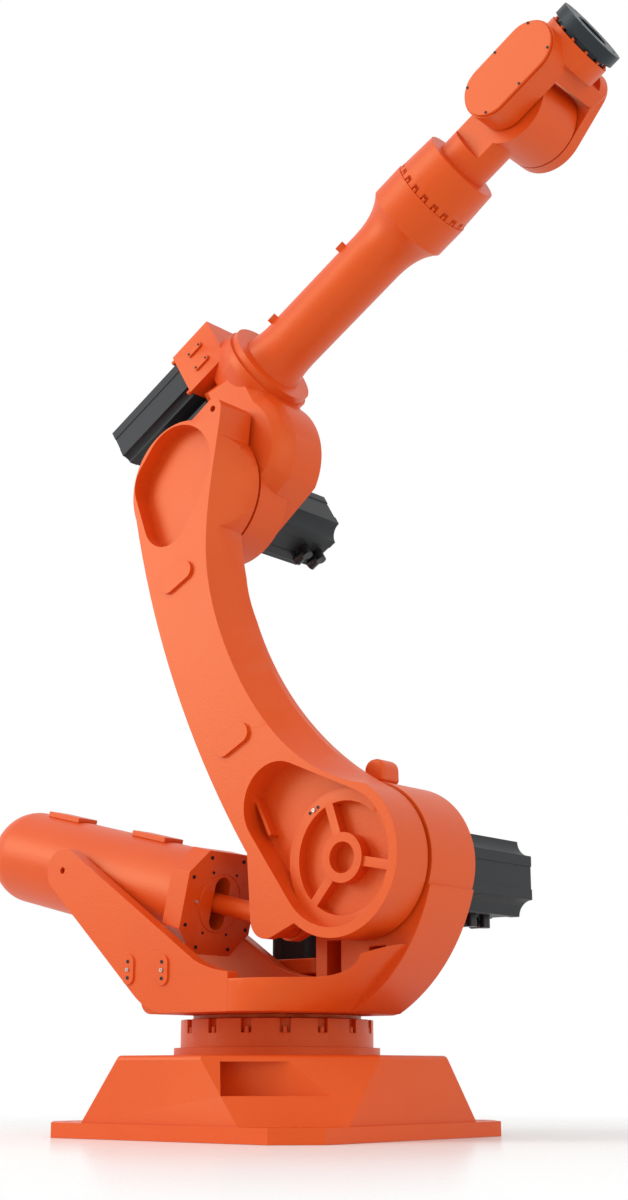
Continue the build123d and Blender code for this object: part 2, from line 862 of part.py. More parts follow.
with BuildPart() as elbow_housing:
    add(elbow_body.part)
    add(elbow_neck.part)
    with BuildSketch(forearm_plane(elbow_drum_far)):
        Circle(elbow_drum_radius)
    extrude(amount=elbow_drum_far + elbow_back)
    with BuildSketch(along_forearm(root_ring_start)):
        Circle(root_radius)
    extrude(amount=root_end - root_ring_start)
    with BuildSketch(forearm_plane(-elbow_back)):
        Circle(elbow_spigot_radius)
    extrude(amount=joint_gap - seam)
    with BuildSketch(forearm_plane(block_far)):
        with Locations(((block_start + block_end) / 2, (block_low + block_high) / 2)):
            Rectangle(block_end - block_start, block_high - block_low)
    extrude(amount=block_far + elbow_back)
finish(elbow_housing, "elbow_housing")

# Two cover strips on the near side of the drive block
with BuildPart() as cover_strips:
    with BuildSketch(forearm_plane(-elbow_back)):
        with Locations(((block_start + block_end) / 2, (block_low + block_high) / 2)):
            with GridLocations(0, strip_gap, 1, 2):
                SlotOverall(strip_length, strip_width)
    extrude(amount=strip_rise)
finish(cover_strips, "cover_strips")

# Elbow motor on the far side of the elbow, and three motors behind the drive block
elbow_motor_plane = forearm_plane(elbow_far + adaptor_height)
adaptor_ring("elbow_adaptor", elbow_motor_plane.offset(adaptor_height), elbow_adaptor_radius)
motor_length = elbow_motor_end - elbow_far - adaptor_height
square_motor("elbow_motor", elbow_motor_plane, elbow_motor_side, motor_length, motor_hollow)
plug_pair("elbow_plugs", forearm_plane(elbow_motor_end - elbow_plugs_setback), elbow_motor_side)


def wrist_motor(name, start, centre_y, centre_up, length):
    """Motor parallel to the forearm, going back from the drive block or the root."""
    plane = along_forearm(start)
    plane.origin = plane.origin + Vector(0, centre_y, 0) + forearm_up * (centre_up - elbow_offset)
    square_motor(name, plane, wrist_motor_side, length, wrist_motor_hollow)


upper_motor = (block_low + block_high) / 2
near_motor_y = -elbow_back + near_motor_inset + wrist_motor_side / 2
wrist_motor("near_wrist_motor", block_start, near_motor_y, upper_motor, wrist_motor_length)
far_motor_y = near_motor_y + wrist_motor_side + wrist_motor_gap
wrist_motor("far_wrist_motor", block_start, far_motor_y, upper_motor, wrist_motor_length)
low_motor_up = upper_motor - wrist_motor_side - low_motor_gap
wrist_motor("low_wrist_motor", elbow_throat[0], low_motor_y, low_motor_up, low_motor_length)

# Forearm tube: collar at the root, slim tube, flare and bolted flange at the wrist end
with BuildPart() as forearm_tube:
    with BuildSketch(forearm_plane(0)):
        with BuildLine():
            axis_v = elbow_offset
            Polyline(
                (root_end, axis_v),
                (root_end, axis_v + collar_radius),
                (collar_end, axis_v + collar_radius),
                (collar_end, axis_v + tube_root_radius),
            )
            Spline(
                (collar_end, axis_v + tube_root_radius), (tube_root_end, axis_v + tube_radius),
                tangents=(tube_root_slope, tube_level),
            )
            Line((tube_root_end, axis_v + tube_radius), (tube_flare_start, axis_v + tube_radius))
            Spline(
                (tube_flare_start, axis_v + tube_radius), (tube_flange_start, axis_v + tube_flange_radius),
                tangents=(tube_level, tube_flare_slope),
            )
            Polyline(
                (tube_flange_start, axis_v + tube_flange_radius),
                (tube_flange_end, axis_v + tube_flange_radius),
                (tube_flange_end, axis_v),
                (root_end, axis_v),
            )
        make_face()
    revolve(axis=forearm_axis)
    for distance in (low_boss_at, wrist_reach - high_boss_setback):
        boss_foot = forearm_foot + forearm_dir * distance
        with BuildSketch(Plane(origin=boss_foot, x_dir=forearm_dir, z_dir=forearm_up + Vector(towards_near))):
            Circle(tube_boss_radius)
        extrude(amount=tube_radius + tube_boss_rise)
finish(forearm_tube, "forearm_tube")

# Wrist gear housing: slightly tapered drum bolted to the forearm flange
with BuildPart() as wrist_housing:
    with BuildSketch(forearm_plane(0)):
        with BuildLine():
            Polyline(
                (tube_flange_end, elbow_offset),
                (tube_flange_end, elbow_offset + wrist_case_radius),
                (wrist_case_end, elbow_offset + wrist_case_front_radius),
                (wrist_case_end, elbow_offset),
                close=True,
            )
        make_face()
    revolve(axis=forearm_axis)
    with BuildSketch(along_forearm(tube_flange_end)):
        with PolarLocations(wrist_case_radius, case_notch_count):
            Circle(case_notch_radius)
    extrude(amount=case_notch_length, mode=Mode.SUBTRACT)
finish(wrist_housing, "wrist_housing")

# Wrist tube: turns about the forearm axis, its end flattened to a tongue that carries the fork
with BuildPart() as wrist_tube:
    with BuildSketch(along_forearm(wrist_case_end + seam)):
        Circle(wrist_tube_radius)
    extrude(amount=wrist_reach - wrist_case_end - seam - tongue_bite)
    with BuildSketch(wrist_plane(-tongue_near)):
        with Locations((-tongue_cut, 0)):
            Rectangle(3 * tongue_cut, 4 * wrist_tube_radius, align=(Align.MIN, Align.CENTER))
    extrude(amount=wrist_tube_radius, mode=Mode.SUBTRACT)
    with BuildSketch(wrist_plane(tongue_far)):
        Circle(tongue_radius)
    extrude(amount=tongue_far + tongue_near)
finish(wrist_tube, "wrist_tube")

# Wrist fork: near gear cheek, far cheek, yoke between them and the round head
with BuildPart() as wrist_fork:
    with BuildSketch(wrist_plane(-fork_near_inner)):
        with Locations((cheek_reach / 2, 0)):
            SlotCenterToCenter(cheek_reach, 2 * cheek_radius)
    extrude(amount=fork_near - fork_near_inner)
    with BuildSketch(wrist_plane(fork_far)):
        Circle(tongue_radius)
        with Locations((cheek_reach, 0)):
            Circle(far_cheek_tip_radius)
        make_hull()
    extrude(amount=fork_far - fork_far_inner)
    yoke_plane = along_forearm(wrist_reach + yoke_inner)
    yoke_width = fork_far + fork_near
    with BuildSketch(yoke_plane):
        with Locations(((fork_far - fork_near) / 2, 0)):
            RectangleRounded(yoke_width, 2 * yoke_half, yoke_round)
    extrude(amount=yoke_thickness)
    with BuildSketch(along_forearm(wrist_reach + yoke_inner + yoke_thickness)):
        Circle(head_radius)
    extrude(amount=head_end - yoke_inner - yoke_thickness)
    with BuildSketch(wrist_plane(-fork_near_inner)):
        Circle(near_hub_radius)
    extrude(amount=-(fork_near_inner - tongue_near - seam))
    with BuildSketch(wrist_plane(fork_far_inner)):
        Circle(cheek_radius)
    extrude(amount=fork_far_inner - tongue_far - seam)
finish(wrist_fork, "wrist_fork")

with BuildPart() as fork_cover:
    with BuildSketch(wrist_plane(-fork_near)):
        with Locations((cheek_reach / 2, 0)):
            SlotCenterToCenter(cheek_reach, 2 * cover_radius)
    extrude(amount=cover_thickness)
finish(fork_cover, "fork_cover")

# Tool flange: a disc on a short neck, with a pilot bore and a ring of bolt holes
with BuildPart() as tool_flange:
    with BuildSketch(along_forearm(wrist_reach + head_end + seam)):
        Circle(flange_neck_radius)
    extrude(amount=flange_neck_length - seam)
    with BuildSketch(along_forearm(wrist_reach + tool_reach - flange_thickness)):
        Circle(flange_radius)
    extrude(amount=flange_thickness)
    with BuildSketch(along_forearm(wrist_reach + tool_reach)):
        Circle(flange_pilot_radius)
    extrude(amount=-flange_pilot_depth, mode=Mode.SUBTRACT)
    with BuildSketch(along_forearm(wrist_reach + tool_reach)):
        with PolarLocations(flange_bolt_circle / 2, flange_bolt_count):
            Circle(flange_bolt_radius)
    extrude(amount=-flange_bolt_depth, mode=Mode.SUBTRACT)
finish(tool_flange, "tool_flange")
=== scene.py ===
"""Looks of a six-axis floor-standing robot arm: painted castings, dark motors, screws and studio light."""
import json
from math import cos, radians, sin

import bmesh
import bpy
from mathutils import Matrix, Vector


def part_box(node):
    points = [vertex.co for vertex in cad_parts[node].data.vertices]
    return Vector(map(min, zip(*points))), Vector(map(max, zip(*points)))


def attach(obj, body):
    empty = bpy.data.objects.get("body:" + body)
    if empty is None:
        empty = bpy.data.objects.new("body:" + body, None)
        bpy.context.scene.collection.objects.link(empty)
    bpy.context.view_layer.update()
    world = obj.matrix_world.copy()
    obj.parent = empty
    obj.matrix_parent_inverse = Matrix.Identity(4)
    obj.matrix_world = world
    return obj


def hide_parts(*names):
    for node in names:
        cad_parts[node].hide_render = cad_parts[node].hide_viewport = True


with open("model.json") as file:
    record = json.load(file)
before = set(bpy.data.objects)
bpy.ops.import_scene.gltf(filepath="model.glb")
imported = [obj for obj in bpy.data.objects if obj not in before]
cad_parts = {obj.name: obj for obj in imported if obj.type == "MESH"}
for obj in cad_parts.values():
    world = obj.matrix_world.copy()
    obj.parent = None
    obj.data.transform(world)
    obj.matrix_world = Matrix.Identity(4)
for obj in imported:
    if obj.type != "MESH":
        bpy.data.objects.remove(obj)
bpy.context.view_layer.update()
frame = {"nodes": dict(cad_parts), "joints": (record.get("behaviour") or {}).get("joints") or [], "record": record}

# Base casting and bearing ring.
# Grey iron under one coat of orange enamel; the casting is bolted to the floor, the ring to its boss.
# The mould leaves every edge rounded, and sixteen cap screws sit in the notches of the ring.
EDGE_ANGLE = radians(32)
EDGE_STEPS = 3
FLAT_ANGLE = radians(0.6)
WELD = 1e-5


def linear(code):
    """Linear colour of an sRGB hex code."""
    channels = [int(code[i:i + 2], 16) / 255 for i in (1, 3, 5)]
    return [c / 12.92 if c <= 0.04045 else ((c + 0.055) / 1.055) ** 2.4 for c in channels] + [1.0]


def add_node(tree, kind, links=None, **settings):
    """One node with its settings; links maps an input's name or number to an output socket or a value."""
    node = tree.nodes.new(kind)
    for key, value in settings.items():
        setattr(node, key, value)
    for key, source in (links or {}).items():
        if isinstance(source, bpy.types.NodeSocket):
            tree.links.new(source, node.inputs[key])
        else:
            node.inputs[key].default_value = source
    return node


def new_material(name):
    """An empty node material, its tree and its output node."""
    material = bpy.data.materials.new(name)
    material.use_nodes = True
    material.node_tree.nodes.clear()
    return material, material.node_tree, add_node(material.node_tree, "ShaderNodeOutputMaterial")


# Sprayed enamel on a sand casting: satin, with a soft mottle of the coat and a peel of about 2 mm.
# The peel is drawn about twice its real size so that it shows at this distance.
PEEL_MM = 4
MOTTLE_MM = 160
orange_enamel, tree, out = new_material("orange_enamel_on_cast_iron")
place = add_node(tree, "ShaderNodeTexCoord").outputs["Object"]
mottle = add_node(tree, "ShaderNodeTexNoise", {"Vector": place, "Scale": 1000 / MOTTLE_MM, "Detail": 3.0})
peel = add_node(tree, "ShaderNodeTexNoise", {"Vector": place, "Scale": 1000 / PEEL_MM, "Detail": 2.0})
coat = add_node(
    tree,
    "ShaderNodeMix",
    {"Factor": mottle.outputs["Fac"], "A": linear("#D6440A"), "B": linear("#DE4E10")},
    data_type="RGBA",
)
sheen = add_node(
    tree,
    "ShaderNodeMapRange",
    {"Value": mottle.outputs["Fac"], "To Min": 0.38, "To Max": 0.46},
)
bump = add_node(
    tree,
    "ShaderNodeBump",
    {"Height": peel.outputs["Fac"], "Strength": 0.32, "Distance": 0.0014},
)
enamel = add_node(
    tree,
    "ShaderNodeBsdfPrincipled",
    {
        "Base Color": coat.outputs["Result"],
        "Roughness": sheen.outputs["Result"],
        "Specular IOR Level": 0.75,
        "Specular Tint": linear("#FFDFA6"),
        "Normal": bump.outputs["Normal"],
    },
)
tree.links.new(enamel.outputs["BSDF"], out.inputs["Surface"])

body_of_node = {n: body for body, nodes in frame["record"]["behaviour"]["bodies"].items() for n in nodes}


def smooth_faces(mesh):
    """Smooth shading that stays crisp at real edges."""
    mesh.polygons.foreach_set("use_smooth", [True] * len(mesh.polygons))
    mesh.set_sharp_from_angle(angle=EDGE_ANGLE)


def settle(piece):
    """The piece's modifiers worked into a plain mesh."""
    mesh = bpy.data.meshes.new_from_object(piece.evaluated_get(bpy.context.evaluated_depsgraph_get()))
    piece.modifiers.clear()
    piece.data = mesh


def soften(node, edge_mm, material):
    """A copy of a CAD piece with its edges rounded as the mould rounds them; it stands for that piece."""
    mesh = frame["nodes"][node].data.copy()
    shell = bmesh.new()
    shell.from_mesh(mesh)
    bmesh.ops.remove_doubles(shell, verts=shell.verts, dist=WELD)
    bmesh.ops.dissolve_limit(shell, angle_limit=FLAT_ANGLE, verts=shell.verts, edges=shell.edges)
    shell.to_mesh(mesh)
    shell.free()
    smooth_faces(mesh)
    mesh.materials.clear()
    mesh.materials.append(material)
    piece = bpy.data.objects.new(node + "_softened", mesh)
    bpy.context.scene.collection.objects.link(piece)
    edge = piece.modifiers.new("edge", "BEVEL")
    edge.width = edge_mm / 1000
    edge.segments = EDGE_STEPS
    edge.limit_method = "ANGLE"
    edge.angle_limit = EDGE_ANGLE
    edge.miter_outer = "MITER_ARC"
    edge.harden_normals = True
    settle(piece)
    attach(piece, body_of_node[node])
    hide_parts(node)


# Node tree that stands a socket screw on every point of a mesh: a round head with a sunk socket.
# The socket is a share of the head, as on standard cap screws.
HEAD_SIDES = 16
SOCKET_WIDTH_SHARE = 0.55
SOCKET_DEPTH_SHARE = 0.6
screw_tree = bpy.data.node_groups.new("socket_screws_on_points", "GeometryNodeTree")
for name, kind in (
    ("Points", "NodeSocketGeometry"),
    ("Head Radius", "NodeSocketFloat"),
    ("Head Height", "NodeSocketFloat"),
    ("Axis", "NodeSocketVector"),
    ("Material", "NodeSocketMaterial"),
):
    screw_tree.interface.new_socket(name, in_out="INPUT", socket_type=kind)
screw_tree.interface.new_socket("Screws", in_out="OUTPUT", socket_type="NodeSocketGeometry")
given = add_node(screw_tree, "NodeGroupInput").outputs
head = add_node(
    screw_tree,
    "GeometryNodeMeshCylinder",
    {"Vertices": HEAD_SIDES, "Radius": given["Head Radius"], "Depth": given["Head Height"]},
)
lip = add_node(
    screw_tree,
    "GeometryNodeExtrudeMesh",
    {"Mesh": head.outputs["Mesh"], "Selection": head.outputs["Top"], "Offset Scale": 0.0},
)
mouth = add_node(
    screw_tree,
    "GeometryNodeScaleElements",
    {"Geometry": lip.outputs["Mesh"], "Selection": lip.outputs["Top"], "Scale": SOCKET_WIDTH_SHARE},
)
depth = add_node(
    screw_tree,
    "ShaderNodeMath",
    {0: given["Head Height"], 1: -SOCKET_DEPTH_SHARE},
    operation="MULTIPLY",
)
socket = add_node(
    screw_tree,
    "GeometryNodeExtrudeMesh",
    {"Mesh": mouth.outputs["Geometry"], "Selection": lip.outputs["Top"], "Offset Scale": depth.outputs[0]},
)
half = add_node(screw_tree, "ShaderNodeMath", {0: given["Head Height"], 1: 0.5}, operation="MULTIPLY")
rise = add_node(screw_tree, "ShaderNodeCombineXYZ", {"Z": half.outputs[0]})
seated = add_node(
    screw_tree,
    "GeometryNodeTransform",
    {"Geometry": socket.outputs["Mesh"], "Translation": rise.outputs[0]},
)
facing = add_node(screw_tree, "FunctionNodeAlignRotationToVector", {"Vector": given["Axis"]}, axis="Z")
copies = add_node(
    screw_tree,
    "GeometryNodeInstanceOnPoints",
    {
        "Points": given["Points"],
        "Instance": seated.outputs["Geometry"],
        "Rotation": facing.outputs["Rotation"],
    },
)
real = add_node(screw_tree, "GeometryNodeRealizeInstances", {"Geometry": copies.outputs["Instances"]})
coated = add_node(
    screw_tree,
    "GeometryNodeSetMaterial",
    {"Geometry": real.outputs["Geometry"], "Material": given["Material"]},
)
add_node(screw_tree, "NodeGroupOutput", {"Screws": coated.outputs["Geometry"]})
screw_inputs = {s.name: s.identifier for s in screw_tree.interface.items_tree if s.in_out == "INPUT"}


def screws(name, body, seats, axis, size_mm, material):
    """Socket screws standing on their seats along one axis; their size is the head's radius and height."""
    points = bpy.data.meshes.new(name)
    points.from_pydata([tuple(seat) for seat in seats], [], [])
    piece = bpy.data.objects.new(name, points)
    bpy.context.scene.collection.objects.link(piece)
    maker = piece.modifiers.new("screws", "NODES")
    maker.node_group = screw_tree
    maker[screw_inputs["Head Radius"]] = size_mm[0] / 1000
    maker[screw_inputs["Head Height"]] = size_mm[1] / 1000
    maker[screw_inputs["Axis"]] = tuple(axis)
    maker[screw_inputs["Material"]] = material
    settle(piece)
    smooth_faces(piece.data)
    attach(piece, body)


def circle_of(centre, axis, first, radius_mm, count):
    """Seats on a circle about an axis, counted from the first direction."""
    second = axis.cross(first)
    angles = [radians(360 * i / count) for i in range(count)]
    return [centre + (first * cos(a) + second * sin(a)) * (radius_mm / 1000) for a in angles]


soften("base_casting", edge_mm=5, material=orange_enamel)
soften("bearing_ring", edge_mm=2.5, material=orange_enamel)
UP = Vector((0, 0, 1))
AHEAD = Vector((1, 0, 0))
RING_SCREWS = 16
RING_SCREW_CIRCLE_MM = 239
RING_SCREW_MM = (6.5, 14)
NOTCH_DROP_MM = 34
ring_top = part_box("bearing_ring")[1][2]
notch_floor = Vector((0, 0, ring_top - NOTCH_DROP_MM / 1000))
ring_seats = circle_of(notch_floor, UP, AHEAD, RING_SCREW_CIRCLE_MM, RING_SCREWS)
screws("ring_screws", "base", ring_seats, UP, RING_SCREW_MM, orange_enamel)

# Turning carousel: floor, two side beams, shoulder bracket and stop.
# Iron castings under the same enamel, screwed together and turning on the bearing ring.
# Each pad of the near beam holds a bright grease nipple between two screws.
for node, edge_mm in (
    ("carousel_floor", 6),
    ("near_side_beam", 4),
    ("far_side_beam", 7),
    ("shoulder_bracket", 5),
    ("shoulder_stop", 10),
    ("turning_motor_flange", 4),
):
    soften(node, edge_mm, orange_enamel)

# Ground steel, plain and bright: fine grinding grain, drawn 1.5 mm wide so that it shows.
GRAIN_MM = 1.5


def grained_steel(name, dark, light, roughness):
    """Steel whose tone wavers with the grain of its last machining."""
    material, tree, out = new_material(name)
    place = add_node(tree, "ShaderNodeTexCoord").outputs["Object"]
    grain = add_node(tree, "ShaderNodeTexNoise", {"Vector": place, "Scale": 1000 / GRAIN_MM, "Detail": 1.0})
    tone = add_node(
        tree,
        "ShaderNodeMix",
        {"Factor": grain.outputs["Fac"], "A": linear(dark), "B": linear(light)},
        data_type="RGBA",
    )
    steel = add_node(
        tree,
        "ShaderNodeBsdfPrincipled",
        {"Base Color": tone.outputs["Result"], "Metallic": 0.8, "Roughness": roughness},
    )
    tree.links.new(steel.outputs["BSDF"], out.inputs["Surface"])
    return material


# The tool flange and most small cap screws are chemically blackened; the fork cover's screws use the same black as
# painted shade, standing for the shaded counterbores around their orange heads.
ground_steel = grained_steel("ground_steel", "#B8B8B6", "#D0D0CE", 0.3)
blackened_steel = grained_steel("blackened_steel", "#2A2E31", "#383D40", 0.42)
NEAR = Vector((0, -1, 0))
BEAM_PADS_MM = ((-182, 403), (-64, 398))
BEAM_SCREW_OFFSET_MM = 20
NIPPLE_MM = (4.5, 4)
BEAM_SCREW_MM = (4.5, 1.5)
beam_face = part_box("near_side_beam")[0][1]
pads = [Vector((x / 1000, beam_face, z / 1000)) for x, z in BEAM_PADS_MM]
screws("beam_nipples", "carousel", pads, NEAR, NIPPLE_MM, ground_steel)
beside = [pad + UP * (side * BEAM_SCREW_OFFSET_MM / 1000) for pad in pads for side in (-1, 1)]
screws("beam_screws", "carousel", beside, NEAR, BEAM_SCREW_MM, blackened_steel)

# Motors and their adaptors.
# Drawn aluminium under a charcoal powder coat, square with hollowed corners, screwed to the castings.
# The powder leaves a fine grain and a dull sheen.
POWDER_MM = 2.5
charcoal, tree, out = new_material("charcoal_powder_coat")
place = add_node(tree, "ShaderNodeTexCoord").outputs["Object"]
grain = add_node(tree, "ShaderNodeTexNoise", {"Vector": place, "Scale": 1000 / POWDER_MM, "Detail": 2.0})
tone = add_node(
    tree,
    "ShaderNodeMix",
    {"Factor": grain.outputs["Fac"], "A": linear("#181B1D"), "B": linear("#23272A")},
    data_type="RGBA",
)
bump = add_node(
    tree,
    "ShaderNodeBump",
    {"Height": grain.outputs["Fac"], "Strength": 0.12, "Distance": 0.0006},
)
powder = add_node(
    tree,
    "ShaderNodeBsdfPrincipled",
    {
        "Base Color": tone.outputs["Result"],
        "Roughness": 0.5,
        "Specular IOR Level": 0.32,
        "Normal": bump.outputs["Normal"],
    },
)
tree.links.new(powder.outputs["BSDF"], out.inputs["Surface"])
for node in (
    "turning_motor",
    "shoulder_motor",
    "shoulder_adaptor",
    "elbow_motor",
    "elbow_adaptor",
    "near_wrist_motor",
    "far_wrist_motor",
    "low_wrist_motor",
):
    soften(node, edge_mm=2, material=charcoal)

# Plug connectors.
# Moulded black nylon, screwed under the shoulder and elbow motors; smooth and a little glossy.
# The mould's fine texture makes the gloss waver.
MOULD_MM = 10 / 7
nylon, tree, out = new_material("black_nylon")
place = add_node(tree, "ShaderNodeTexCoord").outputs["Object"]
mould = add_node(tree, "ShaderNodeTexNoise", {"Vector": place, "Scale": 1000 / MOULD_MM, "Detail": 1.0})
sheen = add_node(
    tree,
    "ShaderNodeMapRange",
    {"Value": mould.outputs["Fac"], "To Min": 0.32, "To Max": 0.45},
)
plastic = add_node(
    tree,
    "ShaderNodeBsdfPrincipled",
    {"Base Color": linear("#131416"), "Roughness": sheen.outputs["Result"]},
)
tree.links.new(plastic.outputs["BSDF"], out.inputs["Surface"])
for node in ("shoulder_plugs", "elbow_plugs"):
    soften(node, edge_mm=2, material=nylon)

# Balancer: cylinder, end plate, saddles and rod.
# Welded steel under the enamel; eight screws hold the end plate, five and a nipple ring the gland.
# The cylinder hangs on its trunnions in the side beams and the rod on the clevis pin.
for node, edge_mm in (
    ("balancer_cylinder", 3),
    ("balancer_end_plate", 4),
    ("balancer_saddles", 2),
    ("balancer_rod", 3),
):
    soften(node, edge_mm, orange_enamel)
soften("clevis_pin", edge_mm=1.5, material=ground_steel)
joint_at = {joint["name"]: Vector(joint["pos_m"]) for joint in frame["joints"]}
BALANCER_FRONT_MM = 415
PLATE_CORNERS_MM = ((113, 60), (60, 113))
PLATE_SCREW_MM = (4.5, 3)
GLAND_CIRCLE_MM = 88
GLAND_SEATS = 6
GLAND_SCREW_MM = (3.5, 2)
ACROSS = Vector((0, 1, 0))
pull = (joint_at["rod_swing"] - joint_at["balancer_swing"]).normalized()
plate_face = joint_at["balancer_swing"] + pull * (BALANCER_FRONT_MM / 1000)
plate_up = pull.cross(ACROSS)
plate_seats = [
    plate_face + ACROSS * (side * a / 1000) + plate_up * (height * b / 1000)
    for a, b in PLATE_CORNERS_MM
    for side in (-1, 1)
    for height in (-1, 1)
]
screws("plate_screws", "balancer", plate_seats, pull, PLATE_SCREW_MM, blackened_steel)
gland_seats = circle_of(plate_face, pull, ACROSS, GLAND_CIRCLE_MM, GLAND_SEATS)
near_seat = min(gland_seats, key=lambda seat: seat.y)
gland_seats.remove(near_seat)
screws("gland_nipple", "balancer", [near_seat], pull, NIPPLE_MM, ground_steel)
screws("gland_screws", "balancer", gland_seats, pull, GLAND_SCREW_MM, blackened_steel)

# Link arm.
# One bowed iron casting under the enamel, hung on the shoulder gear and carrying the elbow gear.
# A bright nipple between two screws sits on the ledge of the lower pocket.
soften("link_arm", edge_mm=12, material=orange_enamel)
link_dir = (joint_at["elbow"] - joint_at["shoulder"]).normalized()
link_rear = Vector((-link_dir.z, 0, link_dir.x))


def on_link(along_mm, rear_mm, y_mm):
    """Point of the link arm, counted from the shoulder axis."""
    return joint_at["shoulder"] + (link_dir * along_mm + link_rear * rear_mm + ACROSS * y_mm) / 1000


LEDGE_MM = 150
LEDGE_REAR_MM = 26
LEDGE_Y_MM = -204
LEDGE_SCREW_OFFSET_MM = 14
LEDGE_SCREW_MM = (4, 1.5)
nipple_seat = on_link(LEDGE_MM, LEDGE_REAR_MM, LEDGE_Y_MM)
screws("ledge_nipple", "link", [nipple_seat], NEAR, NIPPLE_MM, ground_steel)
ledge_seats = [
    on_link(LEDGE_MM, LEDGE_REAR_MM + side * LEDGE_SCREW_OFFSET_MM, LEDGE_Y_MM)
    for side in (-1, 1)
]
screws("ledge_screws", "link", ledge_seats, NEAR, LEDGE_SCREW_MM, blackened_steel)

# Upper arm: elbow housing with its drive block, cover strips, forearm tube and wrist gear housing.
# Iron and aluminium castings under the enamel; the tube is screwed to the elbow, the housing to the tube.
# Screws hold the strips, the wrist motors and the notched joint of the wrist gear housing.
for node, edge_mm in (
    ("elbow_housing", 9),
    ("cover_strips", 1.5),
    ("forearm_tube", 5),
    ("wrist_housing", 2),
):
    soften(node, edge_mm, orange_enamel)
roll_axis = next(joint["axis"] for joint in frame["joints"] if joint["name"] == "wrist_roll")
forearm_dir = Vector(roll_axis).normalized()
forearm_up = Vector((-forearm_dir.z, 0, forearm_dir.x))


def on_forearm(along_mm, up_mm, y_mm):
    """Point of the upper arm, counted from the elbow axis."""
    return joint_at["elbow"] + (forearm_dir * along_mm + forearm_up * up_mm + ACROSS * y_mm) / 1000


STRIP_FACE_MM = -119
STRIP_MIDDLE_MM = (165, 409)
STRIP_HALF_MM = 21
STRIP_STEP_MM = 28
STRIP_SCREW_MM = (3.2, 2)
strip_along, strip_up = STRIP_MIDDLE_MM
strip_seats = [
    on_forearm(strip_along + a * STRIP_HALF_MM, strip_up + b * STRIP_STEP_MM, STRIP_FACE_MM)
    for a in (-1, 1)
    for b in (-1, 1)
]
screws("strip_screws", "upper_arm", strip_seats, NEAR, STRIP_SCREW_MM, blackened_steel)
BLOCK_REAR_MM = 88
MOTOR_MIDDLES_MM = (-41, 109)
MOTOR_BOLT_OFFSET_MM = 63
MOTOR_BOLT_MM = (7, 13)
motor_seats = [
    on_forearm(BLOCK_REAR_MM, strip_up + b * MOTOR_BOLT_OFFSET_MM, y + a * MOTOR_BOLT_OFFSET_MM)
    for y in MOTOR_MIDDLES_MM
    for a in (-1, 1)
    for b in (-1, 1)
]
screws("motor_bolts", "upper_arm", motor_seats, -forearm_dir, MOTOR_BOLT_MM, orange_enamel)
CASE_JOINT_MM = 962
CASE_SCREWS = 20
CASE_SCREW_CIRCLE_MM = 113.5
CASE_SCREW_MM = (5.5, 9)
FOREARM_OFFSET_MM = 283
case_centre = on_forearm(CASE_JOINT_MM, FOREARM_OFFSET_MM, 0)
case_seats = circle_of(case_centre, forearm_dir, ACROSS, CASE_SCREW_CIRCLE_MM, CASE_SCREWS)
screws("case_screws", "upper_arm", case_seats, forearm_dir, CASE_SCREW_MM, orange_enamel)

# Wrist: tube, fork and fork cover.
# Aluminium castings under the enamel; the tube turns in the gear housing and the fork swings on its tongue.
# Six screws hold the cover, twelve the front of the fork's head.
for node, edge_mm in (("wrist_tube", 4), ("wrist_fork", 7), ("fork_cover", 2)):
    soften(node, edge_mm, orange_enamel)
COVER_FACE_MM = -136
COVER_REACH_MM = 137
COVER_EDGE_MM = 68
COVER_END_TURN = radians(52)
COVER_SCREW_MM = (3.5, 2)
wrist_at = joint_at["wrist_bend"]
end_run = COVER_EDGE_MM * cos(COVER_END_TURN)
end_side = COVER_EDGE_MM * sin(COVER_END_TURN)
cover_places = (
    (COVER_REACH_MM / 2, COVER_EDGE_MM),
    (COVER_REACH_MM + end_run, end_side),
    (-end_run, end_side),
)
cover_seats = [
    wrist_at + (forearm_dir * along + forearm_up * (turn * side) + ACROSS * COVER_FACE_MM) / 1000
    for along, side in cover_places
    for turn in (-1, 1)
]
# The cover screws are drawn black as painted shade: they stand for orange-painted heads sunk in shaded
# counterbores.
screws("cover_screws", "fork", cover_seats, NEAR, COVER_SCREW_MM, blackened_steel)
HEAD_FACE_MM = 229
HEAD_SCREWS = 12
HEAD_SCREW_CIRCLE_MM = 89.5
HEAD_SCREW_MM = (5, 6)
head_centre = wrist_at + forearm_dir * (HEAD_FACE_MM / 1000)
head_seats = circle_of(head_centre, forearm_dir, ACROSS, HEAD_SCREW_CIRCLE_MM, HEAD_SCREWS)
screws("head_screws", "fork", head_seats, forearm_dir, HEAD_SCREW_MM, orange_enamel)

# Tool flange.
# Turned steel, chemically blackened; it carries the tool on a ring of threaded holes.
# It turns in the head of the fork.
soften("tool_flange", edge_mm=2, material=blackened_steel)

# Studio.
# A pale floor that fades into the white surround and mirrors the base a little.
# A large soft key stands on the left, a second lamp above it, and a weak fill on the right.
FLOOR_HALF = 4
FLOOR_FADE = (1.0, 2.4)
FLOOR_DROP = 0.0005
FLOOR_POLISH = 0.32
floor_corners = [(x * FLOOR_HALF, y * FLOOR_HALF, 0) for x, y in ((-1, -1), (1, -1), (1, 1), (-1, 1))]
floor_mesh = bpy.data.meshes.new("studio_floor")
floor_mesh.from_pydata(floor_corners, [], [(0, 1, 2, 3)])
floor = bpy.data.objects.new("studio_floor", floor_mesh)
floor.location.z = -FLOOR_DROP
bpy.context.scene.collection.objects.link(floor)
pale, tree, out = new_material("pale_floor_paint")
paint = add_node(tree, "ShaderNodeBsdfDiffuse", {"Color": linear("#F8F8F6")})
polish = add_node(tree, "ShaderNodeBsdfGlossy", {"Color": linear("#FFFFFF"), "Roughness": 0.16})
skin = add_node(tree, "ShaderNodeMixShader", {0: FLOOR_POLISH, 1: paint.outputs[0], 2: polish.outputs[0]})
place = add_node(tree, "ShaderNodeTexCoord").outputs["Object"]
reach = add_node(tree, "ShaderNodeVectorMath", {0: place}, operation="LENGTH")
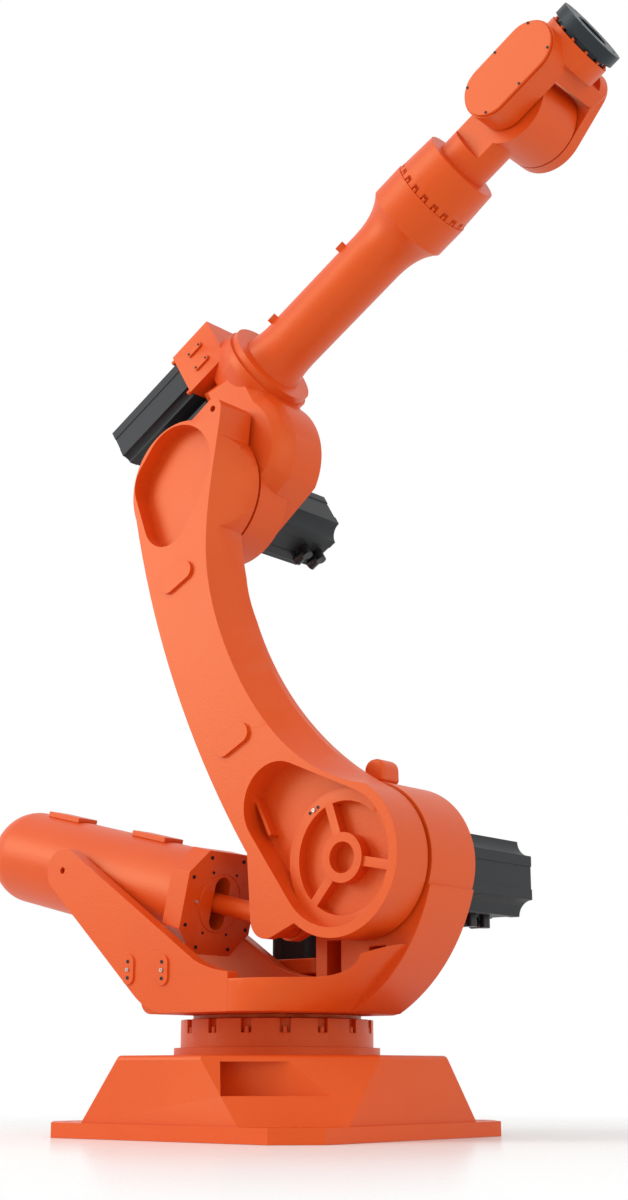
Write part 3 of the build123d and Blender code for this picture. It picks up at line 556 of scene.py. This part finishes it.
fade = add_node(
    tree,
    "ShaderNodeMapRange",
    {"Value": reach.outputs["Value"], "From Min": FLOOR_FADE[0], "From Max": FLOOR_FADE[1]},
)
gone = add_node(tree, "ShaderNodeBsdfTransparent")
faded = add_node(
    tree,
    "ShaderNodeMixShader",
    {0: fade.outputs["Result"], 1: skin.outputs[0], 2: gone.outputs[0]},
)
tree.links.new(faded.outputs[0], out.inputs["Surface"])
floor_mesh.materials.append(pale)

# The surround lights the arm at a plain level; the camera and the mirrored rays see a full white.
world = bpy.data.worlds.new("studio")
bpy.context.scene.world = world
world.use_nodes = True
tree = world.node_tree
tree.nodes.clear()
ray = add_node(tree, "ShaderNodeLightPath").outputs
surround = add_node(tree, "ShaderNodeBackground", {"Color": linear("#FFFFFF"), "Strength": 0.76})
backdrop = add_node(tree, "ShaderNodeBackground", {"Color": linear("#FFFFFF"), "Strength": 1.0})
mirrored = add_node(
    tree,
    "ShaderNodeMath",
    {0: ray["Is Glossy Ray"], 1: ray["Is Transmission Ray"]},
    operation="MAXIMUM",
)
seen = add_node(
    tree,
    "ShaderNodeMath",
    {0: ray["Is Camera Ray"], 1: mirrored.outputs[0]},
    operation="MAXIMUM",
)
either = add_node(
    tree,
    "ShaderNodeMixShader",
    {0: seen.outputs[0], 1: surround.outputs[0], 2: backdrop.outputs[0]},
)
add_node(tree, "ShaderNodeOutputWorld", {"Surface": either.outputs[0]})

AIM = Vector((0.1, 0, 1.3))


def soft_box(name, position, size, power):
    """A square area lamp that looks at the arm."""
    lamp = bpy.data.lights.new(name, "AREA")
    lamp.shape = "SQUARE"
    lamp.size = size
    lamp.energy = power
    holder = bpy.data.objects.new(name, lamp)
    holder.location = position
    holder.rotation_euler = (AIM - Vector(position)).to_track_quat("-Z", "Y").to_euler()
    bpy.context.scene.collection.objects.link(holder)


soft_box("key", position=(-3.6, -3.9, 2.7), size=2.4, power=85)
soft_box("top", position=(-1.5, -3.6, 5.2), size=2.4, power=65)
soft_box("fill", position=(4.2, -1.2, 2.2), size=3.0, power=30)

CAMERA_AT = (2.991, -3.500, 0.160)
CAMERA_TURN = radians(39.34)
CAMERA_PITCH = radians(15.14)
SENSOR_MM = 36
LENS_MM = 52.16
camera = bpy.data.cameras.new("photo_view")
camera.sensor_fit = "VERTICAL"
camera.sensor_height = SENSOR_MM
camera.lens = LENS_MM
viewer = bpy.data.objects.new("photo_view", camera)
viewer.location = CAMERA_AT
level = Vector((-sin(CAMERA_TURN), cos(CAMERA_TURN), 0))
forward = level * cos(CAMERA_PITCH) + UP * sin(CAMERA_PITCH)
viewer.rotation_euler = forward.to_track_quat("-Z", "Y").to_euler()
bpy.context.scene.collection.objects.link(viewer)
bpy.context.scene.camera = viewer
bpy.context.scene.view_settings.view_transform = "Standard"
